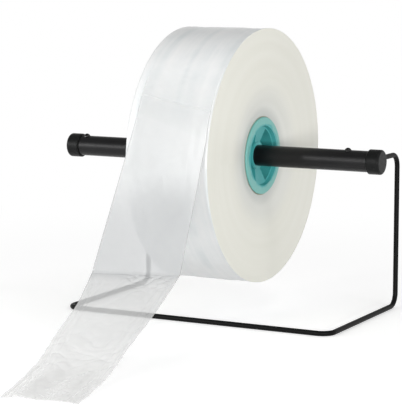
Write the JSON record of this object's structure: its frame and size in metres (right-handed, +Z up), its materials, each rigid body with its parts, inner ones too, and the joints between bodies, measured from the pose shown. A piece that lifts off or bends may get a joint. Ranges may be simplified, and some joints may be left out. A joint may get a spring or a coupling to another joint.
{
  "type": "roll of poly tubing",
  "caption": "Roll of clear lay-flat poly tubing turning on a table-top wire dispenser stand, with a length drawn off to the table.",
  "frame": {"origin": "on the table, at the middle of the whole object's length and width; the spindle's axis lies 151.5 mm behind it and 193 mm above it", "axes": "+X along the spindle to the end cap on the right of the picture, -Y the way the tubing is drawn off, +Z up"},
  "size_m": [0.406, 0.6031, 0.339],
  "materials": {
    "wound_film": "glossy milky film, matt and creamy on the wound end faces",
    "clear_film": "glossy clear film with soft creases",
    "core_board": "spiral wound grey-brown board",
    "teal_plastic": "moulded, satin",
    "black_tube": "satin black powder coat",
    "black_vinyl": "moulded, soft satin",
    "black_screw": "black oxide",
    "black_wire": "satin black powder coat"
  },
  "bodies": {
    "stand": {"wire_stand": "black_wire", "spindle_tube": "black_tube", "end_cap_right": "black_vinyl", "end_cap_left": "black_vinyl", "screw_right": "black_screw", "screw_left": "black_screw", "tubing_tail": "clear_film"},
    "roll": {"tubing_roll": "wound_film", "cardboard_core": "core_board", "core_plug_right": "teal_plastic", "core_plug_left": "teal_plastic"}
  },
  "joints": [
    {"name": "roll_spin", "type": "hinge", "parent": "stand", "child": "roll", "pos_m": [0.008, 0.15153, 0.193], "axis": [1, 0, 0], "continuous": true}
  ]
}
